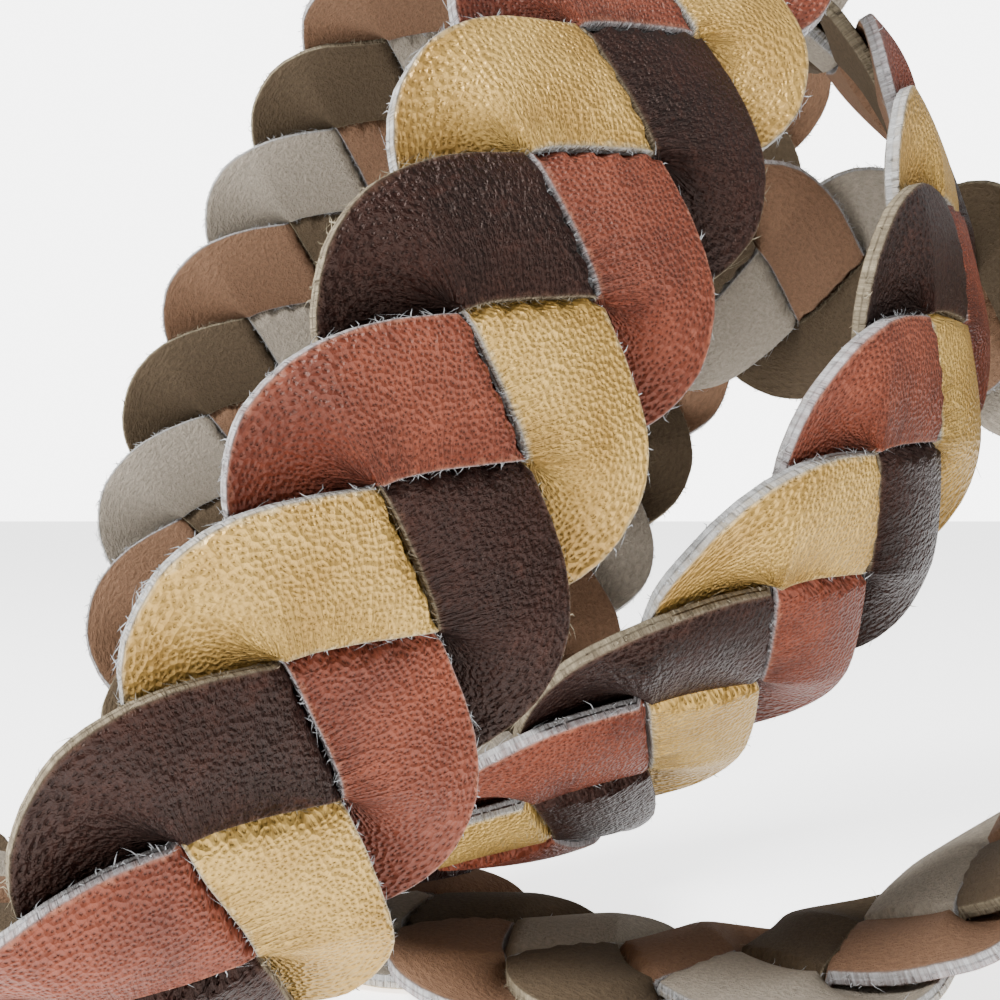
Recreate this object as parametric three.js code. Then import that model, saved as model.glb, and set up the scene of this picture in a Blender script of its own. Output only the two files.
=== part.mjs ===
// Braided leather belt, loosely coiled and resting on a table: a flat braid of three
// leather strands, a folded leather end at each side and a plain metal frame buckle.
// Millimetres, +Z up, origin at the middle of the coil on the surface it rests on.
import * as THREE from "three";

// Driving dimensions of the braid
const beltWidth = 40;
const strandWidth = 12.8;
const leatherThick = 1.8;
const scallopPitch = 17.6;
const strandGap = 0.8;
const edgeMargin = 0.35;
const braidStart = -5.9;

// Driving dimensions of the coil that the belt lies in
const coilSpan = 100;
const coilRise = 100;

// Driving dimensions of the folded ends and the buckle
const tabWidth = 36;
const tabThick = 1.6;
const tabLap = 14;
const seatGap = 0.6;
const railGap = 0.3;
const buckleWidth = 54;
const buckleLength = 34;
const buckleRail = 5;
const buckleCorner = 7;

// Sizes that follow from those
const strandCount = 3;
const period = strandCount * scallopPitch;
const swing = (beltWidth - strandWidth) / 2;
const rowsRoundTurn = 3;
const rowsAlongCrossing = 3;
const fullTurn = 2 * Math.PI;
const braidHalf = leatherThick + strandGap / 2;
const foldHalf = braidHalf + seatGap;
const buckleThick = 2 * (foldHalf - railGap);

const leatherGold = new THREE.MeshStandardMaterial({ color: 0xc9a566, roughness: 0.45, metalness: 0.15 });
const leatherDark = new THREE.MeshStandardMaterial({ color: 0x3b2420, roughness: 0.5, metalness: 0 });
const leatherRust = new THREE.MeshStandardMaterial({ color: 0x9c4a38, roughness: 0.55, metalness: 0 });
const leatherTab = new THREE.MeshStandardMaterial({ color: 0x41291f, roughness: 0.55, metalness: 0 });
const brass = new THREE.MeshStandardMaterial({ color: 0xb08d4a, roughness: 0.3, metalness: 1 });

// The way that the belt lies, from the buckle to the tip, grain side outwards. The places
// right and back are shares of the coil's span, up is a share of its rise above the
// lying height, and the last three columns are the direction that the grain side faces.
// In a row with a tab the belt is also lifted by the folded end's lower wall.
const route = [
  { right: -1.2, back: 0.62, up: 0, tab: 1, faceX: 0, faceY: 0, faceZ: -1 },
  { right: -1.02, back: 0.4, up: 0, tab: 1, faceX: 0, faceY: 0, faceZ: -1 },
  { right: -0.84, back: 0.14, up: 0.005, tab: 0, faceX: 0, faceY: 0, faceZ: -1 },
  { right: -0.66, back: -0.14, up: 0.01, tab: 0, faceX: 0.05, faceY: -0.05, faceZ: -1 },
  { right: -0.5, back: -0.37, up: 0.03, tab: 0, faceX: 0.25, faceY: -0.35, faceZ: -0.9 },
  { right: -0.38, back: -0.55, up: 0.075, tab: 0, faceX: 0.36, faceY: -0.6, faceZ: -0.72 },
  { right: -0.295, back: -0.63, up: 0.15, tab: 0, faceX: 0.4, faceY: -0.78, faceZ: -0.48 },
  { right: -0.25, back: -0.65, up: 0.235, tab: 0, faceX: 0.42, faceY: -0.84, faceZ: -0.34 },
  { right: -0.185, back: -0.65, up: 0.35, tab: 0, faceX: 0.43, faceY: -0.86, faceZ: -0.26 },
  { right: -0.085, back: -0.635, up: 0.53, tab: 0, faceX: 0.43, faceY: -0.87, faceZ: -0.21 },
  { right: 0.015, back: -0.595, up: 0.74, tab: 0, faceX: 0.42, faceY: -0.88, faceZ: -0.12 },
  { right: 0.11, back: -0.49, up: 0.98, tab: 0, faceX: 0.38, faceY: -0.88, faceZ: 0.09 },
  { right: 0.2, back: -0.27, up: 1.25, tab: 0, faceX: 0.2, faceY: -0.78, faceZ: 0.55 },
  { right: 0.28, back: 0, up: 1.43, tab: 0, faceX: 0.1, faceY: -0.3, faceZ: 0.93 },
  { right: 0.36, back: 0.28, up: 1.49, tab: 0, faceX: 0.05, faceY: 0.25, faceZ: 0.96 },
  { right: 0.38, back: 0.54, up: 1.38, tab: 0, faceX: 0.05, faceY: 0.85, faceZ: 0.5 },
  { right: 0.34, back: 0.62, up: 1.18, tab: 0, faceX: 0, faceY: 1, faceZ: 0.1 },
  { right: 0.26, back: 0.58, up: 0.97, tab: 0, faceX: 0.05, faceY: 1, faceZ: 0 },
  { right: 0.16, back: 0.5, up: 0.76, tab: 0, faceX: 0.05, faceY: 1, faceZ: 0 },
  { right: 0.06, back: 0.42, up: 0.55, tab: 0, faceX: 0.05, faceY: 1, faceZ: -0.1 },
  { right: -0.02, back: 0.32, up: 0.35, tab: 0, faceX: 0, faceY: 0.93, faceZ: -0.35 },
  { right: -0.07, back: 0.18, up: 0.18, tab: 0, faceX: -0.05, faceY: 0.6, faceZ: -0.8 },
  { right: -0.07, back: -0.01, up: 0.12, tab: 0, faceX: 0.14, faceY: 0, faceZ: -1 },
  { right: -0.03, back: -0.15, up: 0.15, tab: 0, faceX: 0.3, faceY: -0.5, faceZ: -0.8 },
  { right: 0.065, back: -0.25, up: 0.23, tab: 0, faceX: 0.48, faceY: -0.62, faceZ: -0.6 },
  { right: 0.19, back: -0.32, up: 0.35, tab: 0, faceX: 0.55, faceY: -0.64, faceZ: -0.5 },
  { right: 0.31, back: -0.36, up: 0.46, tab: 0, faceX: 0.64, faceY: -0.65, faceZ: -0.38 },
  { right: 0.42, back: -0.34, up: 0.6, tab: 0, faceX: 0.74, faceY: -0.62, faceZ: -0.22 },
  { right: 0.5, back: -0.27, up: 0.77, tab: 0, faceX: 0.83, faceY: -0.55, faceZ: 0 },
  { right: 0.54, back: -0.14, up: 0.95, tab: 0, faceX: 0.88, faceY: -0.45, faceZ: 0.15 },
  { right: 0.52, back: 0, up: 1.11, tab: 0, faceX: 0.8, faceY: -0.3, faceZ: 0.45 },
  { right: 0.42, back: 0.1, up: 1.23, tab: 0, faceX: 0.45, faceY: -0.15, faceZ: 0.88 },
  { right: 0.26, back: 0.19, up: 1.32, tab: 0, faceX: -0.05, faceY: 0.1, faceZ: 1 },
  { right: 0.09, back: 0.29, up: 1.4, tab: 0, faceX: -0.15, faceY: 0.35, faceZ: 0.92 },
  { right: -0.05, back: 0.41, up: 1.41, tab: 0, faceX: -0.3, faceY: 0.65, faceZ: 0.7 },
  { right: -0.17, back: 0.52, up: 1.28, tab: 0, faceX: -0.4, faceY: 0.85, faceZ: 0.35 },
  { right: -0.285, back: 0.57, up: 1.08, tab: 0, faceX: -0.4, faceY: 0.9, faceZ: 0.15 },
  { right: -0.38, back: 0.59, up: 0.88, tab: 0, faceX: -0.4, faceY: 0.9, faceZ: 0.08 },
  { right: -0.46, back: 0.6, up: 0.68, tab: 0, faceX: -0.4, faceY: 0.9, faceZ: 0 },
  { right: -0.5, back: 0.59, up: 0.48, tab: 0, faceX: -0.4, faceY: 0.88, faceZ: -0.1 },
  { right: -0.5, back: 0.56, up: 0.3, tab: 0, faceX: -0.4, faceY: 0.82, faceZ: -0.35 },
  { right: -0.43, back: 0.47, up: 0.14, tab: 0, faceX: -0.35, faceY: 0.55, faceZ: -0.75 },
  { right: -0.32, back: 0.35, up: 0.04, tab: 0, faceX: -0.15, faceY: 0.2, faceZ: -0.97 },
  { right: -0.16, back: 0.1, up: 0.008, tab: 0, faceX: 0, faceY: 0.03, faceZ: -1 },
  { right: -0.01, back: -0.07, up: 0.0045, tab: 0, faceX: 0, faceY: 0.01, faceZ: -1 },
  { right: 0.16, back: -0.19, up: 0.0045, tab: 0, faceX: 0, faceY: 0.01, faceZ: -1 },
  { right: 0.34, back: -0.23, up: 0.0165, tab: 0, faceX: 0.14, faceY: 0, faceZ: -1 },
  { right: 0.53, back: -0.22, up: 0.09, tab: 0, faceX: 0.45, faceY: -0.06, faceZ: -0.88 },
  { right: 0.7, back: -0.23, up: 0.26, tab: 0, faceX: 0.85, faceY: -0.15, faceZ: -0.45 },
  { right: 0.81, back: -0.22, up: 0.48, tab: 0, faceX: 0.97, faceY: -0.1, faceZ: -0.05 },
  { right: 0.87, back: -0.1, up: 0.68, tab: 0, faceX: 0.96, faceY: 0.1, faceZ: 0.25 },
  { right: 0.86, back: 0.12, up: 0.79, tab: 0, faceX: 0.8, faceY: 0.5, faceZ: 0.4 },
  { right: 0.76, back: 0.29, up: 0.86, tab: 0, faceX: 0.4, faceY: 0.8, faceZ: 0.45 },
  { right: 0.55, back: 0.37, up: 0.91, tab: 0, faceX: 0.05, faceY: 0.85, faceZ: 0.5 },
  { right: 0.31, back: 0.355, up: 0.92, tab: 0, faceX: -0.2, faceY: 0.75, faceZ: 0.6 },
  { right: 0.09, back: 0.265, up: 0.86, tab: 0, faceX: -0.45, faceY: 0.6, faceZ: 0.65 },
  { right: -0.07, back: 0.165, up: 0.745, tab: 0, faceX: -0.6, faceY: 0.5, faceZ: 0.6 },
  { right: -0.19, back: 0.085, up: 0.615, tab: 0, faceX: -0.68, faceY: 0.46, faceZ: 0.56 },
];

// One strand seen flat: the middle line swings from edge to edge of the belt as a wave, with
// angle zero at the left edge
function strandPlan(angle, across) {
  const slope = (swing * Math.sin(angle) * fullTurn) / period;
  const stretch = Math.hypot(1, slope);
  return {
    along: (angle * period) / fullTurn - (across * slope) / stretch,
    aside: -swing * Math.cos(angle) + across / stretch,
  };
}

// How far a flat spot lies outside the strand that is a third of a turn behind or ahead
function clearOf(angle, across, turns) {
  const spot = strandPlan(angle, across);
  const partner = angle + (turns * fullTurn) / strandCount;
  const shift = (turns * period) / strandCount;
  const searchSteps = 90;
  let nearest = Infinity;
  for (let step = -searchSteps; step <= searchSteps; step += 1) {
    const middle = strandPlan(partner + (step / searchSteps) * (fullTurn / strandCount), 0);
    nearest = Math.min(nearest, Math.hypot(spot.along + shift - middle.along, spot.aside - middle.aside));
  }
  return Math.max(nearest - strandWidth / 2 - edgeMargin, 0);
}

// Height of a strand over the belt's middle surface. Each strand lies over the one behind it
// and under the one ahead of it, and steps from one level to the other in the gap between.
function strandHeight(angle, across) {
  const overGap = clearOf(angle, across, -1);
  const underGap = clearOf(angle, across, 1);
  const level = (underGap - overGap) / Math.max(underGap + overGap, 1e-6);
  return (level * (leatherThick + strandGap)) / 2;
}

// Angles over one period where an edge of the strand enters or leaves its crossings, with
// rows between them: many round a turn, some along a crossing, none in a step
function sectionAngles(across) {
  const scanSteps = 720;
  const stateAt = (angle) => {
    if (clearOf(angle, across, -1) <= 0) return "over";
    return clearOf(angle, across, 1) <= 0 ? "under" : "free";
  };
  const bounds = [];
  let state = stateAt(0);
  for (let step = 1; step <= scanSteps; step += 1) {
    const angle = (step / scanSteps) * fullTurn;
    const next = stateAt(angle);
    if (next !== state) bounds.push({ angle: ((step - 0.5) / scanSteps) * fullTurn, into: next });
    state = next;
  }
  const angles = [];
  bounds.forEach((bound, index) => {
    const wraps = index + 1 === bounds.length;
    const next = wraps ? bounds[0].angle + fullTurn : bounds[index + 1].angle;
    const turning = bound.into === "free" && index % 4 === 3;
    const crossingRows = bound.into === "free" ? 1 : rowsAlongCrossing;
    const rows = turning ? rowsRoundTurn : crossingRows;
    for (let row = 0; row < rows; row += 1) {
      angles.push(bound.angle + ((next - bound.angle) * row) / rows);
    }
  });
  return angles;
}

// The belt's middle line and the direction its grain side faces, along its length
function makeRoute() {
  const places = route.map(
    (row) =>
      new THREE.Vector3(
        row.right * coilSpan,
        row.back * coilSpan,
        braidHalf + row.up * coilRise + row.tab * (tabThick + seatGap),
      ),
  );
  const facings = route.map((row) => new THREE.Vector3(row.faceX, row.faceY, row.faceZ));
  const line = new THREE.CatmullRomCurve3(places, false, "centripetal");
  const facing = new THREE.CatmullRomCurve3(facings, false, "centripetal");
  line.arcLengthDivisions = route.length * 40;
  const length = line.getLength();
  const frameAt = (distance) => {
    const inside = Math.min(Math.max(distance, 0), length);
    const share = line.getUtoTmapping(inside / length);
    const forward = line.getTangent(share).normalize();
    const place = line.getPoint(share).addScaledVector(forward, distance - inside);
    const grain = facing.getPoint(share);
    grain.addScaledVector(forward, -grain.dot(forward)).normalize();
    const side = new THREE.Vector3().crossVectors(forward, grain);
    return { place, forward, grain, side };
  };
  return { length, frameAt };
}

const beltRoute = makeRoute();

function onBelt(along, aside, height) {
  const frame = beltRoute.frameAt(along);
  return frame.place.addScaledVector(frame.side, aside).addScaledVector(frame.grain, height);
}

// A closed strip through rows of points, each row the outline of one section
function closeRows(rows) {
  const around = rows[0].length;
  const positions = rows.flat().flatMap((point) => [point.x, point.y, point.z]);
  const triangles = [];
  for (let row = 0; row + 1 < rows.length; row += 1) {
    for (let corner = 0; corner < around; corner += 1) {
      const a = row * around + corner;
      const b = row * around + ((corner + 1) % around);
      triangles.push(a, b, a + around, b, b + around, a + around);
    }
  }
  const last = (rows.length - 1) * around;
  for (let corner = 0; corner + 1 < around / 2; corner += 1) {
    const mirror = around - 1 - corner;
    triangles.push(corner, mirror, corner + 1, corner + 1, mirror, mirror - 1);
    triangles.push(last + corner, last + corner + 1, last + mirror);
    triangles.push(last + corner + 1, last + mirror - 1, last + mirror);
  }
  const geometry = new THREE.BufferGeometry();
  geometry.setAttribute("position", new THREE.Float32BufferAttribute(positions, 3));
  geometry.setIndex(triangles);
  geometry.computeVertexNormals();
  return geometry;
}

// One strand of the braid, from inside one folded end to inside the other
function makeStrand(name, order, material) {
  const edges = [-strandWidth / 2, strandWidth / 2].map((across) => ({ across, angles: sectionAngles(across) }));
  const rows = [];
  const shift = braidStart + (order * period) / strandCount;
  const periods = Math.ceil(beltRoute.length / period) + 1;
  for (let turn = -1; turn < periods; turn += 1) {
    edges[0].angles.forEach((_, index) => {
      const corners = edges.map(({ across, angles }) => {
        const plan = strandPlan(angles[index], across);
        const along = plan.along + turn * period + shift;
        return { along, aside: plan.aside, height: strandHeight(angles[index], across) };
      });
      if (corners.some(({ along }) => along < 0 || along > beltRoute.length)) return;
      const [left, right] = corners;
      const half = leatherThick / 2;
      rows.push([
        onBelt(left.along, left.aside, left.height + half),
        onBelt(right.along, right.aside, right.height + half),
        onBelt(right.along, right.aside, right.height - half),
        onBelt(left.along, left.aside, left.height - half),
      ]);
    });
  }
  const mesh = new THREE.Mesh(closeRows(rows), material);
  mesh.name = name;
  return mesh;
}

// Puts a shape drawn outwards (x) and through the leather (y) at an end of the belt
function placeAtEnd(mesh, distance, outward) {
  const frame = beltRoute.frameAt(distance);
  const out = frame.forward.clone().multiplyScalar(outward);
  const across = new THREE.Vector3().crossVectors(out, frame.grain);
  mesh.applyMatrix4(new THREE.Matrix4().makeBasis(out, frame.grain, across).setPosition(frame.place));
  return mesh;
}

// A strap folded over an end of the braid and, past it, round a space as long as the reach:
// two walls joined by a round fold
function makeFoldedEnd(name, distance, outward, reach) {
  const outer = foldHalf + tabThick;
  const foldAt = seatGap + reach;
  const profile = new THREE.Shape();
  profile.moveTo(-tabLap, foldHalf);
  profile.lineTo(foldAt, foldHalf);
  profile.absarc(foldAt, 0, foldHalf, Math.PI / 2, -Math.PI / 2, true);
  profile.lineTo(-tabLap, -foldHalf);
  profile.lineTo(-tabLap, -outer);
  profile.lineTo(foldAt, -outer);
  profile.absarc(foldAt, 0, outer, -Math.PI / 2, Math.PI / 2, false);
  profile.lineTo(-tabLap, outer);
  profile.closePath();
  const geometry = new THREE.ExtrudeGeometry(profile, { depth: tabWidth, bevelEnabled: false, curveSegments: 6 });
  geometry.translate(0, 0, -tabWidth / 2);
  const mesh = new THREE.Mesh(geometry, leatherTab);
  mesh.name = name;
  return placeAtEnd(mesh, distance, outward);
}

// Outline of a rectangle with round corners, from its near edge outwards
function roundedRectangle(shape, start, length, width, corner) {
  const end = start + length;
  const half = width / 2;
  shape.moveTo(start + corner, -half);
  shape.absarc(end - corner, -half + corner, corner, -Math.PI / 2, 0, false);
  shape.absarc(end - corner, half - corner, corner, 0, Math.PI / 2, false);
  shape.absarc(start + corner, half - corner, corner, Math.PI / 2, Math.PI, false);
  shape.absarc(start + corner, -half + corner, corner, Math.PI, 1.5 * Math.PI, false);
  shape.closePath();
  return shape;
}

// The buckle is one plain frame, whose near rail lies in the fold of its strap
function makeBuckle() {
  const outline = roundedRectangle(new THREE.Shape(), seatGap, buckleLength, buckleWidth, buckleCorner);
  const windowStart = seatGap + buckleRail;
  const windowLength = buckleLength - 2 * buckleRail;
  const windowWidth = buckleWidth - 2 * buckleRail;
  const innerCorner = buckleCorner - buckleRail;
  outline.holes.push(roundedRectangle(new THREE.Path(), windowStart, windowLength, windowWidth, innerCorner));
  const geometry = new THREE.ExtrudeGeometry(outline, { depth: buckleThick, bevelEnabled: false, curveSegments: 6 });
  geometry.translate(0, 0, -buckleThick / 2);
  geometry.rotateX(-Math.PI / 2);
  const mesh = new THREE.Mesh(geometry, brass);
  mesh.name = "buckle";
  return placeAtEnd(mesh, 0, -1);
}

const belt = new THREE.Group();
belt.add(makeStrand("strand_rust", 0, leatherRust));
belt.add(makeStrand("strand_dark", 1, leatherDark));
belt.add(makeStrand("strand_gold", 2, leatherGold));
belt.add(makeFoldedEnd("buckle_tab", 0, -1, buckleRail));
belt.add(makeFoldedEnd("tip_tab", beltRoute.length, 1, 0));
belt.add(makeBuckle());

// The origin is the middle of the whole belt's box, on the surface that it rests on
const wholeBox = new THREE.Box3().setFromObject(belt, true);
belt.position.set(-(wholeBox.min.x + wholeBox.max.x) / 2, -(wholeBox.min.y + wholeBox.max.y) / 2, -wholeBox.min.z);

export default belt;
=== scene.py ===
import math

import bpy
import numpy as np
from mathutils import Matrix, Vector


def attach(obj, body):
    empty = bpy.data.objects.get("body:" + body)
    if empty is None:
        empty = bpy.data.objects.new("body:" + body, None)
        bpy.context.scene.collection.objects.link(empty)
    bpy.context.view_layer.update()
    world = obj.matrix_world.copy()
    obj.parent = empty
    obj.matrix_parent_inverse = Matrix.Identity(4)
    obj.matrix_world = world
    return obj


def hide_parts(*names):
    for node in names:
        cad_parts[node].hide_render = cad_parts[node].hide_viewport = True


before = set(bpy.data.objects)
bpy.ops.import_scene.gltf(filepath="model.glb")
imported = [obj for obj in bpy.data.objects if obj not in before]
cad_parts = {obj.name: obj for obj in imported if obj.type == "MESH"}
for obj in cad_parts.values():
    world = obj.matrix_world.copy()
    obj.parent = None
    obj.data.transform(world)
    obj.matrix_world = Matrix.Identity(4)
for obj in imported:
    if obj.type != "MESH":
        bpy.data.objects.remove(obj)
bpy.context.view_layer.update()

bl_info = {
    "name": "Braided belt",
    "version": (1, 0, 0),
    "blender": (4, 5, 0),
    "location": "3D View > Sidebar > Belt",
    "description": "A three-strand braided leather belt that lies in loose loops",
    "category": "Add Mesh",
}

MM = 0.001
FULL_TURN = 2 * math.pi

# The way that the belt lies, from the buckle to the tip, as in the part's source: right,
# back and up are shares of the coil's span and rise, tab is 1 where the folded end's lower
# wall lifts the belt, and the last three are the direction that the grain side faces.
ROUTE = np.array([
    (-1.2, 0.62, 0, 1, 0, 0, -1),
    (-1.02, 0.4, 0, 1, 0, 0, -1),
    (-0.84, 0.14, 0.005, 0, 0, 0, -1),
    (-0.66, -0.14, 0.01, 0, 0.05, -0.05, -1),
    (-0.5, -0.37, 0.03, 0, 0.25, -0.35, -0.9),
    (-0.38, -0.55, 0.075, 0, 0.36, -0.6, -0.72),
    (-0.295, -0.63, 0.15, 0, 0.4, -0.78, -0.48),
    (-0.25, -0.65, 0.235, 0, 0.42, -0.84, -0.34),
    (-0.185, -0.65, 0.35, 0, 0.43, -0.86, -0.26),
    (-0.085, -0.635, 0.53, 0, 0.43, -0.87, -0.21),
    (0.015, -0.595, 0.74, 0, 0.42, -0.88, -0.12),
    (0.11, -0.49, 0.98, 0, 0.38, -0.88, 0.09),
    (0.2, -0.27, 1.25, 0, 0.2, -0.78, 0.55),
    (0.28, 0, 1.43, 0, 0.1, -0.3, 0.93),
    (0.36, 0.28, 1.49, 0, 0.05, 0.25, 0.96),
    (0.38, 0.54, 1.38, 0, 0.05, 0.85, 0.5),
    (0.34, 0.62, 1.18, 0, 0, 1, 0.1),
    (0.26, 0.58, 0.97, 0, 0.05, 1, 0),
    (0.16, 0.5, 0.76, 0, 0.05, 1, 0),
    (0.06, 0.42, 0.55, 0, 0.05, 1, -0.1),
    (-0.02, 0.32, 0.35, 0, 0, 0.93, -0.35),
    (-0.07, 0.18, 0.18, 0, -0.05, 0.6, -0.8),
    (-0.07, -0.01, 0.12, 0, 0.14, 0, -1),
    (-0.03, -0.15, 0.15, 0, 0.3, -0.5, -0.8),
    (0.065, -0.25, 0.23, 0, 0.48, -0.62, -0.6),
    (0.19, -0.32, 0.35, 0, 0.55, -0.64, -0.5),
    (0.31, -0.36, 0.46, 0, 0.64, -0.65, -0.38),
    (0.42, -0.34, 0.6, 0, 0.74, -0.62, -0.22),
    (0.5, -0.27, 0.77, 0, 0.83, -0.55, 0),
    (0.54, -0.14, 0.95, 0, 0.88, -0.45, 0.15),
    (0.52, 0, 1.11, 0, 0.8, -0.3, 0.45),
    (0.42, 0.1, 1.23, 0, 0.45, -0.15, 0.88),
    (0.26, 0.19, 1.32, 0, -0.05, 0.1, 1),
    (0.09, 0.29, 1.4, 0, -0.15, 0.35, 0.92),
    (-0.05, 0.41, 1.41, 0, -0.3, 0.65, 0.7),
    (-0.17, 0.52, 1.28, 0, -0.4, 0.85, 0.35),
    (-0.285, 0.57, 1.08, 0, -0.4, 0.9, 0.15),
    (-0.38, 0.59, 0.88, 0, -0.4, 0.9, 0.08),
    (-0.46, 0.6, 0.68, 0, -0.4, 0.9, 0),
    (-0.5, 0.59, 0.48, 0, -0.4, 0.88, -0.1),
    (-0.5, 0.56, 0.3, 0, -0.4, 0.82, -0.35),
    (-0.43, 0.47, 0.14, 0, -0.35, 0.55, -0.75),
    (-0.32, 0.35, 0.04, 0, -0.15, 0.2, -0.97),
    (-0.16, 0.1, 0.008, 0, 0, 0.03, -1),
    (-0.01, -0.07, 0.0045, 0, 0, 0.01, -1),
    (0.16, -0.19, 0.0045, 0, 0, 0.01, -1),
    (0.34, -0.23, 0.0165, 0, 0.14, 0, -1),
    (0.53, -0.22, 0.09, 0, 0.45, -0.06, -0.88),
    (0.7, -0.23, 0.26, 0, 0.85, -0.15, -0.45),
    (0.81, -0.22, 0.48, 0, 0.97, -0.1, -0.05),
    (0.87, -0.1, 0.68, 0, 0.96, 0.1, 0.25),
    (0.86, 0.12, 0.79, 0, 0.8, 0.5, 0.4),
    (0.76, 0.29, 0.86, 0, 0.4, 0.8, 0.45),
    (0.55, 0.37, 0.91, 0, 0.05, 0.85, 0.5),
    (0.31, 0.355, 0.92, 0, -0.2, 0.75, 0.6),
    (0.09, 0.265, 0.86, 0, -0.45, 0.6, 0.65),
    (-0.07, 0.165, 0.745, 0, -0.6, 0.5, 0.6),
    (-0.19, 0.085, 0.615, 0, -0.68, 0.46, 0.56),
])
COIL_SPAN = 100 * MM
COIL_RISE = 100 * MM
COIL_SHIFT = np.array([33.357, -13.261, 0.001]) * MM

BELT_WIDTH = 40 * MM
# Wide enough to close the corners where three strands meet, and to cross a little there.
STRAND_WIDTH = 13.8 * MM
LEATHER_THICK = 1.8 * MM
STRAND_GAP = 0.8 * MM
SCALLOP_PITCH = 17.6 * MM
# Below zero: a strand starts to rise or sink this far inside its neighbour's edge.
EDGE_MARGIN = -0.2 * MM
BRAID_START = -5.9 * MM
STRAND_COUNT = 3
PERIOD = STRAND_COUNT * SCALLOP_PITCH
SWING = (BELT_WIDTH - STRAND_WIDTH) / 2
BRAID_HALF = LEATHER_THICK + STRAND_GAP / 2

TAB_WIDTH = 36 * MM
TAB_THICK = 1.6 * MM
TAB_LAP = 14 * MM
SEAT_GAP = 0.6 * MM
RAIL_GAP = 0.3 * MM
FOLD_HALF = BRAID_HALF + SEAT_GAP
BUCKLE_WIDTH = 54 * MM
BUCKLE_LENGTH = 34 * MM
BUCKLE_RAIL = 5 * MM
BUCKLE_CORNER = 7 * MM
BUCKLE_THICK = 2 * (FOLD_HALF - RAIL_GAP)
BUCKLE_ROUND = 1.3 * MM
TAB_ROUND = 0.5 * MM
TAB_SET_BACK = 0.4 * MM

FLOOR_CLEARANCE = 0.05 * MM
FIBRE_ROOT = 0.12 * MM
RELIEF_DEPTH = 0.7 * MM
FLOOR_HALF = 4.0
FLOOR_GREY = 0.93
FLOOR_GLOW = 2.8
SEEN_SKY = 6.0
SENSOR_WIDTH = 36


def smooth_curve(points, share):
    """Places on a centripetal Catmull-Rom curve through the rows, at shares of the row count.

    Each span is the cubic from its first row to its second whose end speeds weigh the
    neighbouring chords by the square roots of their lengths.
    """
    spans = len(points) - 1
    row = np.clip(np.floor(share * spans).astype(int), 0, spans - 1)
    weight = (share * spans - row)[:, None]
    padded = np.vstack([2 * points[0] - points[1], points, 2 * points[-1] - points[-2]])
    before, start, end, after = (padded[row + k] for k in range(4))

    def knot(a, b):
        return np.maximum(np.linalg.norm(b - a, axis=1), 1e-9)[:, None] ** 0.5

    first, middle, last = knot(before, start), knot(start, end), knot(end, after)
    leave = (start - before) / first - (end - before) / (first + middle) + (end - start) / middle
    arrive = (end - start) / middle - (after - start) / (middle + last) + (after - end) / last
    leave = leave * middle
    arrive = arrive * middle
    square = -3 * start + 3 * end - 2 * leave - arrive
    cube = 2 * start - 2 * end + leave + arrive
    return start + leave * weight + square * weight**2 + cube * weight**3


def unit(vectors):
    """Each row divided by its own length."""
    return vectors / np.linalg.norm(vectors, axis=1)[:, None]


class BeltRoute:
    """The belt's middle line, measured along its length, with the way that its grain faces."""

    def __init__(self):
        lift = BRAID_HALF + ROUTE[:, 2] * COIL_RISE + ROUTE[:, 3] * (TAB_THICK + SEAT_GAP)
        self.places = np.column_stack([ROUTE[:, 0] * COIL_SPAN, ROUTE[:, 1] * COIL_SPAN, lift])
        self.facings = ROUTE[:, 4:7]
        self.share = np.linspace(0, 1, len(ROUTE) * 80)
        steps = np.diff(smooth_curve(self.places, self.share), axis=0)
        self.reached = np.concatenate([[0], np.cumsum(np.linalg.norm(steps, axis=1))])
        self.length = self.reached[-1]

    def frames(self, along):
        """Place, forward, grain and side at distances along the belt."""
        inside = np.clip(along, 0, self.length)
        share = np.interp(inside, self.reached, self.share)
        later = smooth_curve(self.places, np.minimum(share + 1e-4, 1))
        earlier = smooth_curve(self.places, np.maximum(share - 1e-4, 0))
        forward = unit(later - earlier)
        place = smooth_curve(self.places, share) + forward * (along - inside)[:, None] + COIL_SHIFT
        grain = smooth_curve(self.facings, share)
        grain = unit(grain - forward * np.sum(grain * forward, axis=1)[:, None])
        return place, forward, grain, np.cross(forward, grain)

    def on_belt(self, along, aside, height):
        """Places in the room of spots given flat on the belt, as arrays of one shape."""
        place, _, grain, side = self.frames(along.ravel())
        spot = place + side * aside.ravel()[:, None] + grain * height.ravel()[:, None]
        return spot.reshape(along.shape + (3,))


BELT = BeltRoute()


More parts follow.
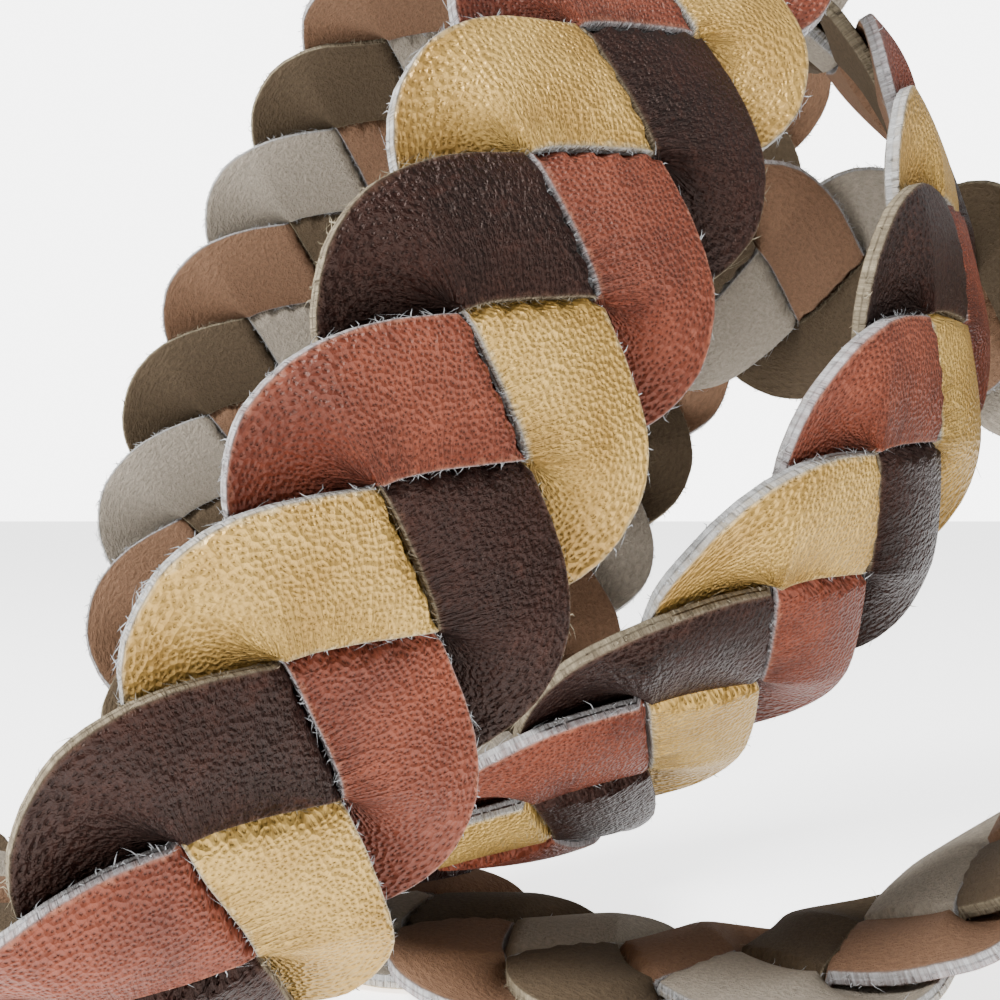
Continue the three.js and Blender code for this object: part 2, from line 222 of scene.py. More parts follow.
def surface(name, grid, material, closed_rows=False, attributes=None):
    """A mesh from a grid of places whose columns go round, with every quad facing outwards.

    Quad (i, j) joins rows i and i + 1 and columns j and j + 1, and the last column joins the
    first. Rows join end to end as well, or else each end is closed by one face.
    """
    rows, around = grid.shape[:2]
    first = np.arange(rows if closed_rows else rows - 1)
    after = (first + 1) % rows
    column = np.arange(around)
    beside = (column + 1) % around
    quads = np.stack([
        first[:, None] * around + column,
        first[:, None] * around + beside,
        after[:, None] * around + beside,
        after[:, None] * around + column,
    ], axis=-1).reshape(-1, 4)
    points = grid.reshape(-1, 3)
    corners = points[quads] - points.mean(axis=0)
    volume = np.sum(np.cross(corners[:, 0], corners[:, 1]) * corners[:, 2])
    volume += np.sum(np.cross(corners[:, 0], corners[:, 2]) * corners[:, 3])
    faces = quads if volume > 0 else quads[:, ::-1]
    faces = faces.tolist()
    if not closed_rows:
        start = column[::-1]
        end = (rows - 1) * around + column
        faces.append((start if volume > 0 else start[::-1]).tolist())
        faces.append((end if volume > 0 else end[::-1]).tolist())
    mesh = bpy.data.meshes.new(name)
    mesh.from_pydata(points, [], faces)
    for key, values in (attributes or {}).items():
        layer = mesh.attributes.new(key, "FLOAT_VECTOR", "POINT")
        layer.data.foreach_set("vector", np.ascontiguousarray(values, dtype=np.float32).ravel())
    mesh.shade_smooth()
    mesh.materials.append(material)
    piece = bpy.data.objects.new(name, mesh)
    bpy.context.scene.collection.objects.link(piece)
    return piece


def rounded_section(width, thick, radius, flat_steps, round_steps):
    """Points round a flat rectangle with round corners: columns across and depth.

    The corners are quarter circles, and the two long sides are cut into equal steps.
    """
    quarter = np.linspace(0, math.pi / 2, round_steps + 1)
    points = []
    for turn, (sign_x, sign_y) in enumerate(((1, 1), (-1, 1), (-1, -1), (1, -1))):
        angle = quarter + turn * math.pi / 2
        middle_x = sign_x * (width / 2 - radius)
        middle_y = sign_y * (thick / 2 - radius)
        round_x = middle_x + radius * np.cos(angle)
        round_y = middle_y + radius * np.sin(angle)
        points.append(np.column_stack([round_x, round_y]))
        if turn % 2 == 0:
            run = np.linspace(1, -1, flat_steps + 1)[1:-1, None]
            across = sign_x * run * (width / 2 - radius)
            points.append(np.column_stack([across, np.full_like(across, sign_y * thick / 2)]))
    return np.vstack(points)


def strand_plan(angle, across):
    """Where a spot of a strand lies flat: along and aside on the belt.

    The strand's middle swings from edge to edge as minus the cosine of its angle, and the
    spot lies across from it, square to its slope.
    """
    slope = SWING * np.sin(angle) * FULL_TURN / PERIOD
    stretch = np.hypot(1, slope)
    along = angle * PERIOD / FULL_TURN - across * slope / stretch
    return along, -SWING * np.cos(angle) + across / stretch


def strand_length(angle):
    """Distance along a strand's middle line: its stretch summed over the angle, by halves."""
    steps = np.linspace(0, FULL_TURN, 721)
    stretch = np.hypot(1, SWING * np.sin(steps) * FULL_TURN / PERIOD) * PERIOD / FULL_TURN
    pieces = (stretch[1:] + stretch[:-1]) / 2 * np.diff(steps)
    summed = np.concatenate([[0], np.cumsum(pieces)])
    turns = np.floor(angle / FULL_TURN)
    return turns * summed[-1] + np.interp(angle - turns * FULL_TURN, steps, summed)


def clear_of(angle, across, turns):
    """How far spots lie outside the strand that is so many thirds of a turn away.

    The nearest distance to that strand's middle line, less half its width and the margin.
    """
    along, aside = strand_plan(angle, across)
    search = np.linspace(-1, 1, 181) * FULL_TURN / STRAND_COUNT
    middle = angle[..., None] + turns * FULL_TURN / STRAND_COUNT + search
    middle_along, middle_aside = strand_plan(middle, 0)
    off_along = (along + turns * PERIOD / STRAND_COUNT)[..., None] - middle_along
    away = np.hypot(off_along, aside[..., None] - middle_aside).min(axis=-1)
    return np.maximum(away - STRAND_WIDTH / 2 - EDGE_MARGIN, 0)


def strand_level(angle, across):
    """One where the strand lies over its neighbour, minus one under it, eased between.

    The share of the two free distances, bent by a quarter sine at each end.
    """
    over = clear_of(angle, across, -1)
    under = clear_of(angle, across, 1)
    share = (under - over) / np.maximum(under + over, 1e-9)
    return np.sin(share * math.pi / 2)


def gentle_waves(along, across, seed):
    """Slow unevenness of hand-cut leather, from minus one to one: four sines of set lengths."""
    wave = np.sin(along / 0.0171 + seed)
    wave += 0.7 * np.sin(along / 0.0067 + 2.1 * seed + across / 0.006)
    wave += 0.5 * np.sin(along / 0.0034 + 3.7 * seed - across / 0.004)
    return (wave + 0.4 * np.sin(along / 0.0013 + 1.3 * seed)) / 2.6


def strand_spots(order, sizes, section):
    """Along, aside, across, level and angle over a whole strand: rows along, columns round."""
    rows = np.arange(sizes.rows_per_period) * FULL_TURN / sizes.rows_per_period
    angle, across = np.meshgrid(rows, section[:, 0], indexing="ij")
    level = strand_level(angle, across)
    periods = int(math.ceil(BELT.length / PERIOD)) + 2
    turns = np.repeat(np.arange(periods) - 1, sizes.rows_per_period)
    angle = np.tile(angle, (periods, 1)) + (turns * FULL_TURN)[:, None]
    level = np.tile(level, (periods, 1))
    across = np.tile(across, (periods, 1))
    along, aside = strand_plan(angle, across)
    along = along + BRAID_START + order * PERIOD / STRAND_COUNT
    kept = np.all((along >= 0) & (along <= BELT.length), axis=1)
    return along[kept], aside[kept], across[kept], level[kept], angle[kept]


def strand_height(along, across, level, depth, sizes, order):
    """Height of the strand's surface over the belt's middle, with its crown and unevenness."""
    crown = sizes.crown * (1 - (2 * across / STRAND_WIDTH) ** 2)
    lift = (LEATHER_THICK + sizes.braid_gap) / 2
    uneven = sizes.unevenness * gentle_waves(along, across, 1.7 * order + 0.4)
    return (lift + crown) * level + depth + uneven * np.abs(level)


def make_strand(name, order, material, sizes):
    """A strand as a closed strip: the rounded section of its leather carried along the braid."""
    section = rounded_section(STRAND_WIDTH, LEATHER_THICK, sizes.edge_round, 14, 3)
    along, aside, across, level, angle = strand_spots(order, sizes, section)
    depth = np.broadcast_to(section[:, 1], along.shape)
    height = strand_height(along, across, level, depth, sizes, order)
    ragged = sizes.raggedness * gentle_waves(along * 3.1, across * 0, order + 0.9)
    outer = np.sign(across) * (np.abs(across) > STRAND_WIDTH * 0.4)
    grid = BELT.on_belt(along, aside + ragged * outer, height)
    grid[..., 2] = np.maximum(grid[..., 2], FLOOR_CLEARANCE)
    place = np.stack([strand_length(angle), across, np.full_like(across, order * 0.37)], axis=-1)
    grain = np.clip(depth / (LEATHER_THICK / 2 - sizes.edge_round), -1, 1)
    past_bevel = np.abs(across) - STRAND_WIDTH / 2 + 0.55 * sizes.edge_round
    edge = np.clip(past_bevel / (0.5 * sizes.edge_round), 0, 1)
    inner = np.clip(np.cos(angle) * across * 2 / STRAND_WIDTH, 0, 1)
    state = np.stack([grain, edge, inner], axis=-1)
    layer = np.stack([level, np.abs(across) * 2 / STRAND_WIDTH, np.zeros_like(across)], axis=-1)
    attributes = {"leather_place": place, "leather_state": state, "leather_level": layer}
    return surface(name, grid, material, attributes=attributes)


def make_fibres(name, order, material, sizes, seed):
    """Loose fibres along both cut edges of a strand, each a bent sliver of three faces.

    A fibre starts on the edge at a random distance and depth, and leaves it outwards with a
    random lean along the edge and up, and its two sides meet at its tip.
    """
    random = np.random.default_rng(seed)
    count = sizes.fibres_per_strand
    full = BELT.length / PERIOD * FULL_TURN
    angle = random.uniform(0, full, count)
    sign = np.where(random.random(count) < 0.5, -1.0, 1.0)
    across = sign * STRAND_WIDTH / 2
    depth = random.uniform(-0.42, 0.42, count) * LEATHER_THICK
    level = strand_level(np.mod(angle, FULL_TURN), across)
    reach = sizes.fibre_length * (0.25 + random.random(count) ** 2)
    lean = random.normal(0, 0.9, count)
    rise = random.normal(0, 0.5, count)
    curl = random.normal(0, 0.5, count)
    wide = sizes.fibre_width
    points = []
    for share, half in ((0, 1), (0, -1), (0.55, 0.8), (0.55, -0.8), (1, 0)):
        out = reach * share
        turn = angle + (out * (lean + curl * share) + half * wide / 2) * FULL_TURN / PERIOD
        along, aside = strand_plan(turn, across + sign * (out - FIBRE_ROOT))
        along = along + BRAID_START + order * PERIOD / STRAND_COUNT
        lifted = depth + out * (rise + curl * share * 0.6)
        height = strand_height(along, across, level, lifted, sizes, order)
        points.append((along, aside, height))
    along, aside, height = (np.stack(column, axis=1) for column in zip(*points))
    kept = np.all((along > 0) & (along < BELT.length), axis=1)
    spots = BELT.on_belt(along[kept], aside[kept], height[kept])
    spots[..., 2] = np.maximum(spots[..., 2], FLOOR_CLEARANCE)
    start = np.arange(len(spots))[:, None] * 5
    faces = np.concatenate([start + [0, 1, 3], start + [0, 3, 2], start + [2, 3, 4]])
    mesh = bpy.data.meshes.new(name)
    mesh.from_pydata(spots.reshape(-1, 3), [], faces.tolist())
    mesh.materials.append(material)
    piece = bpy.data.objects.new(name, mesh)
    bpy.context.scene.collection.objects.link(piece)
    return piece


def end_frame(distance, outward):
    """Place and the three axes at an end of the belt: outwards, grain side, and across."""
    place, forward, grain, _ = (part[0] for part in BELT.frames(np.array([distance])))
    out = forward * outward
    return place, out, grain, np.cross(out, grain)


def carry(section, path, normal):
    """A grid of places: the section's across along z, its depth along the path's normal."""
    across = np.broadcast_to(section[:, 0], (len(path), len(section)))
    flat = path[:, None, :] + normal[:, None, :] * section[None, :, 1, None]
    return np.concatenate([flat, across[..., None]], axis=-1)


def place_grid(grid, distance, outward):
    """Moves a grid drawn at an end of the belt (outwards, grain, across) to its place."""
    place, out, grain, across = end_frame(distance, outward)
    moved = place + grid @ np.stack([out, grain, across])
    moved[..., 2] = np.maximum(moved[..., 2], 0)
    return moved


def make_folded_end(name, distance, outward, reach, material):
    """A strap folded over the braid's end: two straight walls and a half circle between."""
    middle = FOLD_HALF + TAB_THICK / 2
    fold_at = SEAT_GAP + reach
    run = np.linspace(-TAB_LAP + TAB_SET_BACK, fold_at, 24)
    turn = np.linspace(math.pi / 2, -math.pi / 2, 41)[1:-1]
    arc = np.column_stack([fold_at + middle * np.cos(turn), middle * np.sin(turn)])
    upper = np.column_stack([run, np.full_like(run, middle)])
    path = np.vstack([upper, arc, upper[::-1] * [1, -1]])
    facing = np.vstack([
        np.tile([0.0, 1.0], (len(run), 1)),
        np.column_stack([np.cos(turn), np.sin(turn)]),
        np.tile([0.0, -1.0], (len(run), 1)),
    ])
    section = rounded_section(TAB_WIDTH, TAB_THICK, TAB_ROUND, 30, 4)
    grid = place_grid(carry(section, path, facing), distance, outward)
    steps = np.concatenate([[0], np.cumsum(np.linalg.norm(np.diff(path, axis=0), axis=1))])
    shape = grid.shape[:2]
    length = np.broadcast_to(steps[:, None], shape)
    across = np.broadcast_to(section[:, 0], shape)
    depth = np.broadcast_to(section[:, 1] / (TAB_THICK / 2), shape)
    edge = np.clip((np.abs(across) - TAB_WIDTH / 2 + 0.8 * MM) / (0.6 * MM), 0, 1)
    place = np.stack([length, across, across * 0], axis=-1)
    state = np.stack([depth, edge, across * 0], axis=-1)
    layer = np.stack([across * 0 + 1, np.abs(across) * 2 / TAB_WIDTH, across * 0], axis=-1)
    attributes = {"leather_place": place, "leather_state": state, "leather_level": layer}
    return surface(name, grid, material, attributes=attributes)


def make_buckle(name, material):
    """The plain frame: a rounded section carried round a rectangle with round corners."""
    corner = BUCKLE_CORNER - BUCKLE_RAIL / 2
    half_length = (BUCKLE_LENGTH - BUCKLE_RAIL) / 2
    half_width = (BUCKLE_WIDTH - BUCKLE_RAIL) / 2
    quarter = np.linspace(0, math.pi / 2, 13)
    path = []
    facing = []
    for turn, (sign_x, sign_y) in enumerate(((1, 1), (-1, 1), (-1, -1), (1, -1))):
        angle = quarter + turn * math.pi / 2
        out = np.column_stack([np.cos(angle), np.sin(angle)])
        centre = [sign_x * (half_length - corner), sign_y * (half_width - corner)]
        path.append(centre + corner * out)
        facing.append(out)
    path = np.vstack(path) + [SEAT_GAP + BUCKLE_LENGTH / 2, 0]
    section = rounded_section(BUCKLE_THICK, BUCKLE_RAIL, BUCKLE_ROUND, 3, 5)
    grid = carry(section, path, np.vstack(facing))[..., [0, 2, 1]]
    return surface(name, place_grid(grid, 0, -1), material, closed_rows=True)


class Wire:
    """A shader socket that takes part in sums: each sum adds one Math node."""

    def __init__(self, book, socket):
        self.book = book
        self.socket = socket

    def sum_with(self, operation, other, turned=False):
        pair = (other, self) if turned else (self, other)
        return self.book.node("ShaderNodeMath", {"operation": operation}, dict(enumerate(pair)))

    def __add__(self, other):
        return self.sum_with("ADD", other)

    def __mul__(self, other):
        return self.sum_with("MULTIPLY", other)

    def __sub__(self, other):
        return self.sum_with("SUBTRACT", other)

    def __rsub__(self, other):
        return self.sum_with("SUBTRACT", other, True)

    __radd__ = __add__


class Book:
    """One material's nodes, added by type with their settings and the values of their sockets."""

    def __init__(self, name):
        self.material = bpy.data.materials.new(name)
        self.material.use_nodes = True
        self.tree = self.material.node_tree
        self.tree.nodes.clear()

    def node(self, kind, settings=None, inputs=None, output=0):
        made = self.tree.nodes.new(kind)
        for key, value in (settings or {}).items():
            setattr(made, key, value)
        for key, value in (inputs or {}).items():
            if isinstance(value, Wire):
                self.tree.links.new(value.socket, made.inputs[key])
            else:
                made.inputs[key].default_value = value
        return Wire(self, made.outputs[output])

    def attribute(self, name):
        return self.node("ShaderNodeAttribute", {"attribute_name": name}, output="Vector")

    def parts(self, vector):
        made = self.tree.nodes.new("ShaderNodeSeparateXYZ")
        self.tree.links.new(vector.socket, made.inputs[0])
        return [Wire(self, made.outputs[k]) for k in range(3)]

    def all_three(self, value):
        return self.node("ShaderNodeCombineXYZ", {}, {0: value, 1: value, 2: value})

    def scaled(self, vector, scale):
        return self.node("ShaderNodeVectorMath", {"operation": "MULTIPLY"}, {0: vector, 1: scale})

    def noise(self, vector, scale, detail=3, rough=0.5):
        inputs = {"Vector": vector, "Scale": scale, "Detail": detail, "Roughness": rough}
        return self.node("ShaderNodeTexNoise", {}, inputs, "Fac")

    def cells(self, vector, scale):
        """Distance to the middle of the nearest of many small cells, drawn flat on the leather."""
        settings = {"feature": "F1", "voronoi_dimensions": "2D"}
        inputs = {"Vector": vector, "Scale": scale, "Randomness": 0.8}
        return self.node("ShaderNodeTexVoronoi", settings, inputs, "Distance")

    def ramp(self, value, low, high):
        """Zero below low and one above high, with a straight run between."""
        inputs = {"Value": value, "From Min": low, "From Max": high}
        return self.node("ShaderNodeMapRange", {"clamp": True}, inputs, "Result")

    def blend(self, factor, first, second):
        inputs = {"Factor": factor, 6: first, 7: second}
        return self.node("ShaderNodeMix", {"data_type": "RGBA"}, inputs, 2)

    def finish(self, inputs):
        shader = self.node("ShaderNodeBsdfPrincipled", {}, inputs, "BSDF")
        output = self.tree.nodes.new("ShaderNodeOutputMaterial")
        self.tree.links.new(shader.socket, output.inputs["Surface"])
        return self.material


def leather(name, grain_low, grain_high, suede, raw, finish):
    """Leather with a grain side, a suede back and a raw cut edge, as its state attribute says.

    The grain's colour drifts between two tones, its pores, pebbles and creases are in the
    bump, and the creases fan from the inner side of each turn of the strand. Shade is also
    painted into the grain's colour: darker in the pores, in the creases and where the strand
    passes under its neighbour.
    """
    book = Book(name)
    place = book.attribute("leather_place")
    grain_side, edge, inner = book.parts(book.attribute("leather_state"))
    level, off_middle, _ = book.parts(book.attribute("leather_level"))
    top = book.ramp(grain_side, -0.2, 0.2)

    drift = book.ramp(book.noise(place, 95, 3, 0.6), 0.36, 0.66)
    warp = book.noise(place, 700, 2)
    shift = {0: place, 1: book.all_three(warp * 0.0005)}
    bent = book.node("ShaderNodeVectorMath", {"operation": "ADD"}, shift)
    pebble = book.cells(book.scaled(bent, (1, 0.9, 1)), finish.pebble_scale)
    pores = book.ramp(pebble, finish.pore_size * 0.4, finish.pore_size)
    fan = book.noise(book.scaled(place, (1150, 170, 1)), 1, 3, 0.62)
    creases = book.ramp(fan, 0.47, 0.58) * book.ramp(inner, 0.05, 0.55)
    wrinkle = book.noise(book.scaled(bent, (1900, 800, 1)), 1, 3, 0.6)
    wear = book.ramp(off_middle + book.noise(place, 900, 2) * 0.22, 1.03, 1.12)

    tone = book.blend(drift, (*grain_low, 1), (*grain_high, 1))
    # Painted shade: the pores are darkened in colour as if their pits lay in shade.
    tone = book.blend((1 - pores) * finish.pore_painted_shade, tone, (*finish.painted_shade_colour, 1))
    # Painted shade: the creases are darkened in colour.
    tone = book.blend(creases * finish.crease_painted_shade, tone, (*finish.painted_shade_colour, 1))
    scuff = book.ramp(book.noise(book.scaled(place, (420, 620, 1)), 1, 4, 0.7), 0.54, 0.72)
    tone = book.blend(scuff * finish.scuff, tone, (*finish.scuff_colour, 1))
    tone = book.blend(wear * 0.55, tone, (*finish.wear_colour, 1))
    # Painted shade: the grain is darkened where the strand passes under its neighbour.
    under = book.ramp(level, 0.5, -0.7) * 0.45
    tone = book.blend(under, tone, (*finish.painted_shade_colour, 1))

    nap = book.noise(place, 1500, 3, 0.75)
    nap_tone = book.blend(book.ramp(nap, 0.3, 0.7), (*[c * 0.62 for c in suede], 1), (*suede, 1))
    cut = book.noise(place, 2300, 3, 0.8)
    cut_tone = book.blend(book.ramp(cut, 0.35, 0.65), (*[c * 0.45 for c in raw], 1), (*raw, 1))
    colour = book.blend(top, nap_tone, tone)
    colour = book.blend(edge * (0.55 + cut * 0.45), colour, cut_tone)

    smooth = finish.roughness + drift * 0.08 + scuff * 0.1 + creases * 0.12 - pebble * 0.06
    roughness = 0.92 + (smooth - 0.92) * top * (1 - edge)
    metallic = top * (1 - edge) * finish.metallic

    relief = pebble * finish.pebble_deep + pores * finish.pore_deep
    relief = relief - creases * finish.crease_deep + wrinkle * finish.wrinkle_deep
    relief = relief * top + (nap * 0.9) * (1 - top) + cut * edge * 0.9
    bump = {"Strength": 1.0, "Distance": RELIEF_DEPTH, "Height": relief}
    normal = book.node("ShaderNodeBump", {}, bump)
    return book.finish({
        "Base Color": colour,
        "Roughness": roughness,
        "Metallic": metallic,
        "Normal": normal,
        "Specular IOR Level": finish.shine,
        "Specular Tint": (*finish.shine_tint, 1),
    })


class Finish:
    """How one leather's grain looks: scales per metre, depths as shares of the relief.

    Each leather adds its own pebble depth, pores, wear, roughness and tint of its shine.
    """

    pebble_scale = 1900
    pore_size = 0.22
    pore_deep = 0.4
    crease_deep = 0.7
    crease_painted_shade = 0.3
    wrinkle_deep = 0.5
    scuff = 0.0
    scuff_colour = (0.2, 0.07, 0.05)
    metallic = 0.0
    shine = 0.4


class GoldFinish(Finish):
    """Foiled gold leather: pebbled, satin, a little metallic, with brown painted shade in its pores,
    its creases and where it passes under a neighbour.
    """

    pebble_scale = 1800
    pebble_deep = 0.62
    pore_painted_shade = 0.07
    # Colour of the painted shade in the pores, the creases and under the neighbouring strand.
    painted_shade_colour = (0.2, 0.11, 0.03)
    wear_colour = (0.5, 0.42, 0.26)
    roughness = 0.38
    metallic = 0.4
    shine_tint = (1.0, 0.9, 0.65)


class DarkFinish(Finish):
    """Dark brown leather: creased, with reddish scuffs, small dots of painted shade in its pores and
    faint painted shade in its creases.
    """

    pebble_scale = 1700
    pebble_deep = 0.4
    pore_painted_shade = 0.25
    # Colour of the painted shade in the pores, the creases and under the neighbouring strand.
    painted_shade_colour = (0.004, 0.0015, 0.001)
    crease_painted_shade = 0.1
    scuff = 0.55
    scuff_colour = (0.032, 0.0105, 0.007)
    wrinkle_deep = 1.3
    wear_colour = (0.07, 0.035, 0.022)
    roughness = 0.36
    shine = 0.2
    shine_tint = (1.0, 0.72, 0.62)


class RustFinish(Finish):
    """Terracotta leather: fine pores darkened with painted shade, and a matt satin face."""

    pore_size = 0.21
    pore_painted_shade = 0.5
    pebble_deep = 0.7
    # Colour of the painted shade in the pores, the creases and under the neighbouring strand.
    painted_shade_colour = (0.045, 0.008, 0.004)
    scuff = 0.25
    scuff_colour = (0.27, 0.075, 0.04)
    wear_colour = (0.36, 0.14, 0.08)
    roughness = 0.48
    shine = 0.32
    shine_tint = (1.0, 0.75, 0.65)


def brushed_brass(name, colour):
    """Satin brass with fine brush lines and slow changes of tone and gloss."""
    book = Book(name)
    place = book.node("ShaderNodeTexCoord", {}, {}, "Object")
    lines = book.noise(book.scaled(place, (3800, 420, 3800)), 1, 3, 0.6)
    drift = book.noise(place, 120, 3)
    dull = [c * 0.6 for c in colour]
    tone = book.blend(book.ramp(drift, 0.35, 0.7), (*dull, 1), (*colour, 1))
    roughness = 0.24 + drift * 0.14 + lines * 0.08
    bump = {"Strength": 0.25, "Distance": 0.00006, "Height": lines}
    normal = book.node("ShaderNodeBump", {}, bump)
    inputs = {"Base Color": tone, "Roughness": roughness, "Metallic": 1.0, "Normal": normal}
    return book.finish(inputs)


def fibre_finish(name, colour):
    """Loose fibre: matt, its tone changing a little from place to place."""
    book = Book(name)
    place = book.node("ShaderNodeTexCoord", {}, {}, "Object")
    dull = [c * 0.55 for c in colour]
    drift = book.ramp(book.noise(place, 900, 2), 0.3, 0.7)
    tone = book.blend(drift, (*dull, 1), (*colour, 1))
    return book.finish({"Base Color": tone, "Roughness": 0.95})


def plain_surface(name, colour, roughness, glow):
    """One even colour, for the floor, which glows as a lit table does."""
    book = Book(name)
    even = (*colour, 1)
    return book.finish({
        "Base Color": even,
        "Roughness": roughness,
        "Emission Color": even,
        "Emission Strength": glow,
    })


def count_property(name, description, default):
    return bpy.props.IntProperty(name=name, description=description, default=default)


def number_property(name, description, default, unit="NONE"):
    """A number in the panel, in the unit that it is given in."""
    settings = {"name": name, "description": description, "default": default, "unit": unit}
    return bpy.props.FloatProperty(**settings)


def length_property(name, description, default):
    return number_property(name, description, default, "LENGTH")


def colour_property(name, description, default):
    settings = {"name": name, "description": description, "default": default}
    return bpy.props.FloatVectorProperty(subtype="COLOR", size=3, **settings)


class BeltSizes(bpy.types.PropertyGroup):
    """Sizes of the braid's fine form."""

    rows_per_period: count_property("Rows a repeat", "Sections of a strand in one repeat", 80)
    braid_gap: length_property("Air", "Air between crossed strands", 0.25 * MM)
    crown: length_property("Crown", "How far a strand's middle swells", 0.85 * MM)
    edge_round: length_property("Edge", "Radius of a strand's edges", 0.32 * MM)
    unevenness: length_property("Unevenness", "Slow swell of the leather", 0.1 * MM)
    raggedness: length_property("Raggedness", "Waver of a cut edge", 0.2 * MM)
    fibres_per_strand: count_property("Fibres", "Loose fibres along a strand", 15000)
    fibre_length: length_property("Fibre length", "Usual length of a fibre", 0.75 * MM)
    fibre_width: length_property("Fibre width", "Width of a fibre's root", 0.07 * MM)


class BeltColours(bpy.types.PropertyGroup):
    """Colours of the leathers and the metal."""

    gold: colour_property("Gold", "Light tone of the gold leather", (0.46, 0.29, 0.078))
    gold_low: colour_property("Gold, low", "Dark tone of the gold leather", (0.31, 0.18, 0.042))
    gold_back: colour_property("Gold back", "Suede side of the gold leather", (0.27, 0.235, 0.19))
    dark: colour_property("Dark", "Light tone of the dark leather", (0.0145, 0.0045, 0.0031))
    dark_low: colour_property("Dark, low", "Dark tone of the dark leather", (0.0055, 0.0018, 0.0014))
    dark_back: colour_property("Dark back", "Suede side of the dark leather", (0.075, 0.055, 0.034))
    rust: colour_property("Rust", "Light tone of the rust leather", (0.17, 0.0385, 0.0185))
    rust_low: colour_property("Rust, low", "Dark tone of the rust leather", (0.085, 0.0165, 0.008))
    rust_back: colour_property("Rust back", "Suede side of the rust leather", (0.17, 0.095, 0.055))
    pale_cut: colour_property("Pale cut", "Raw edge of the gold and rust leather", (0.4, 0.41, 0.42))
    olive_cut: colour_property("Olive cut", "Raw edge of the dark leather", (0.26, 0.22, 0.15))
    brass: colour_property("Brass", "The buckle's metal", (0.6, 0.43, 0.2))


class StageSettings(bpy.types.PropertyGroup):
    """The camera and the light."""

    eye_distance: length_property("Distance", "From the coil to the camera", 0.2)
    eye_height: length_property("Height", "Of the camera over the floor", 0.06)
    lens: number_property("Lens", "Focal length in millimetres", 54)
    sky: number_property("Sky", "Strength of the even light all round", 0.6)
    key: number_property("Key light", "Power of the large soft light", 18.0, "POWER")
    fill: number_property("Fill light", "Power of the light from the right", 2.0, "POWER")


def ride_as(piece, slot, *nodes):
    """Fixes a piece to the belt's one body, in place of its solid."""
    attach(piece, "root")
    if nodes:
        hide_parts(*nodes)


STRANDS = (
    ("rust", 0, RustFinish, "pale_cut"),
    ("dark", 1, DarkFinish, "olive_cut"),
    ("gold", 2, GoldFinish, "pale_cut"),
)


class BELT_OT_strands(bpy.types.Operator):
    """Makes the three strands of the braid."""

    bl_idname = "belt.strands"
    bl_label = "Strands"

    def execute(self, context):
        sizes = context.scene.belt_sizes
        colours = context.scene.belt_colours
        for colour, order, finish, cut in STRANDS:
            keys = (f"{colour}_low", colour, f"{colour}_back", cut)
            tones = [tuple(getattr(colours, key)) for key in keys]
            material = leather(f"leather_{colour}", *tones, finish)
            piece = make_strand(f"braided_{colour}", order, material, sizes)
            ride_as(piece, f"leather_{colour}", f"strand_{colour}")
        return {"FINISHED"}


class BELT_OT_fibres(bpy.types.Operator):
    """Makes the loose fibres along the strands' cut edges."""

    bl_idname = "belt.fibres"
    bl_label = "Edge fibres"

    def execute(self, context):
        sizes = context.scene.belt_sizes
        colours = context.scene.belt_colours
        for colour, order, _, cut in STRANDS:
            material = fibre_finish(f"fibre_{colour}", tuple(getattr(colours, cut)))
            piece = make_fibres(f"fibres_{colour}", order, material, sizes, order + 11)
            ride_as(piece, f"leather_{colour}")
        return {"FINISHED"}


class BELT_OT_folded_ends(bpy.types.Operator):
    """Makes the folded leather at the buckle and at the tip."""

    bl_idname = "belt.folded_ends"
    bl_label = "Folded ends"

    def execute(self, context):
        colours = context.scene.belt_colours
        keys = ("dark_low", "dark", "dark_back", "olive_cut")
        tones = [tuple(getattr(colours, key)) for key in keys]
        material = leather("leather_tab", *tones, DarkFinish)
        ends = (("buckle", 0, -1, BUCKLE_RAIL), ("tip", BELT.length, 1, 0))
        for name, distance, outward, reach in ends:
            piece = make_folded_end(f"folded_{name}_end", distance, outward, reach, material)
            ride_as(piece, "leather_tab", f"{name}_tab")
        return {"FINISHED"}


class BELT_OT_buckle(bpy.types.Operator):
    """Makes the plain frame of the buckle."""

    bl_idname = "belt.buckle"
    bl_label = "Buckle"

    def execute(self, context):
        material = brushed_brass("brass", tuple(context.scene.belt_colours.brass))
        ride_as(make_buckle("buckle_frame", material), "brass", "buckle")
        return {"FINISHED"}


def soft_light(name, place, aim, size, power):
    """A square light that faces a spot."""
    light = bpy.data.lights.new(name, "AREA")
    light.size = size
    light.energy = power
    made = bpy.data.objects.new(name, light)
    made.location = place
    made.rotation_euler = (Vector(aim) - Vector(place)).to_track_quat("-Z", "Y").to_euler()
    bpy.context.scene.collection.objects.link(made)


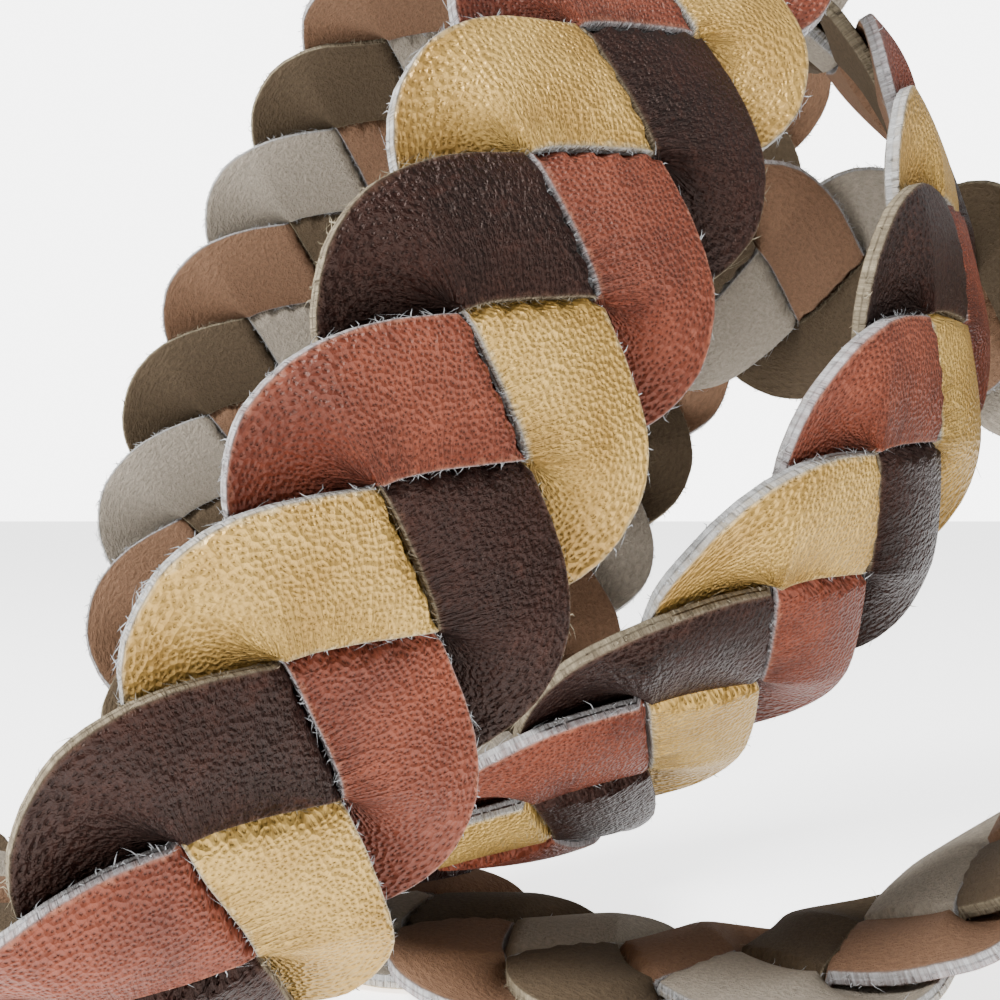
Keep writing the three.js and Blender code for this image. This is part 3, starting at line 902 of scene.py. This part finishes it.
class BELT_OT_stage(bpy.types.Operator):
    """Makes the pale floor, the sky, the two soft lights and the camera."""

    bl_idname = "belt.stage"
    bl_label = "Stage"

    @staticmethod
    def show_white(tree, sky):
        """The sky itself looks white, while its light on the belt keeps its own strength."""
        seen = tree.nodes.new("ShaderNodeBackground")
        seen.inputs["Color"].default_value = (1, 1, 1, 1)
        seen.inputs["Strength"].default_value = SEEN_SKY
        path = tree.nodes.new("ShaderNodeLightPath")
        mix = tree.nodes.new("ShaderNodeMixShader")
        tree.links.new(path.outputs["Is Camera Ray"], mix.inputs[0])
        tree.links.new(sky.outputs[0], mix.inputs[1])
        tree.links.new(seen.outputs[0], mix.inputs[2])
        tree.links.new(mix.outputs[0], tree.nodes["World Output"].inputs["Surface"])

    def execute(self, context):
        settings = context.scene.belt_stage
        half = FLOOR_HALF
        corners = [(-half, -half, 0), (half, -half, 0), (half, half, 0), (-half, half, 0)]
        mesh = bpy.data.meshes.new("floor")
        mesh.from_pydata(corners, [], [(0, 1, 2, 3)])
        mesh.materials.append(plain_surface("pale_floor", (FLOOR_GREY,) * 3, 0.8, FLOOR_GLOW))
        floor = bpy.data.objects.new("floor", mesh)
        context.scene.collection.objects.link(floor)

        world = bpy.data.worlds.new("studio")
        world.use_nodes = True
        sky = world.node_tree.nodes["Background"]
        sky.inputs["Color"].default_value = (1, 1, 1, 1)
        sky.inputs["Strength"].default_value = settings.sky
        self.show_white(world.node_tree, sky)
        context.scene.world = world

        aim = (0.0, 0.0, 0.07)
        soft_light("key_light", (-0.45, -0.35, 0.6), aim, 0.32, settings.key)
        soft_light("fill_light", (0.6, -0.3, 0.35), aim, 0.5, settings.fill)

        eye = bpy.data.cameras.new("photo_view")
        eye.sensor_width = SENSOR_WIDTH
        eye.lens = settings.lens
        eye.clip_start = 0.005
        camera = bpy.data.objects.new("photo_view", eye)
        camera.location = (COIL_SHIFT[0], COIL_SHIFT[1] - settings.eye_distance, settings.eye_height)
        camera.rotation_euler = (math.pi / 2, 0, 0)
        context.scene.collection.objects.link(camera)
        context.scene.camera = camera
        return {"FINISHED"}


class BELT_PT_panel(bpy.types.Panel):
    """Buttons for the belt's pieces, and their settings."""

    bl_idname = "BELT_PT_panel"
    bl_label = "Braided belt"
    bl_space_type = "VIEW_3D"
    bl_region_type = "UI"
    bl_category = "Belt"

    def draw(self, context):
        for operator in OPERATORS:
            self.layout.operator(operator.bl_idname)
        for group in ("belt_sizes", "belt_colours", "belt_stage"):
            settings = getattr(context.scene, group)
            for key in settings.bl_rna.properties.keys():
                if key not in ("rna_type", "name"):
                    self.layout.prop(settings, key)


GROUPS = {"belt_sizes": BeltSizes, "belt_colours": BeltColours, "belt_stage": StageSettings}
OPERATORS = (BELT_OT_strands, BELT_OT_fibres, BELT_OT_folded_ends, BELT_OT_buckle, BELT_OT_stage)


def register():
    for group in GROUPS.values():
        bpy.utils.register_class(group)
    for key, group in GROUPS.items():
        setattr(bpy.types.Scene, key, bpy.props.PointerProperty(type=group))
    for each in OPERATORS + (BELT_PT_panel,):
        bpy.utils.register_class(each)


def unregister():
    for each in (BELT_PT_panel,) + OPERATORS[::-1]:
        bpy.utils.unregister_class(each)
    for key in GROUPS:
        delattr(bpy.types.Scene, key)
    for group in reversed(GROUPS.values()):
        bpy.utils.unregister_class(group)


def main():
    register()
    bpy.ops.belt.strands()
    bpy.ops.belt.fibres()
    bpy.ops.belt.folded_ends()
    bpy.ops.belt.buckle()
    bpy.ops.belt.stage()


if __name__ == "__main__":
    main()
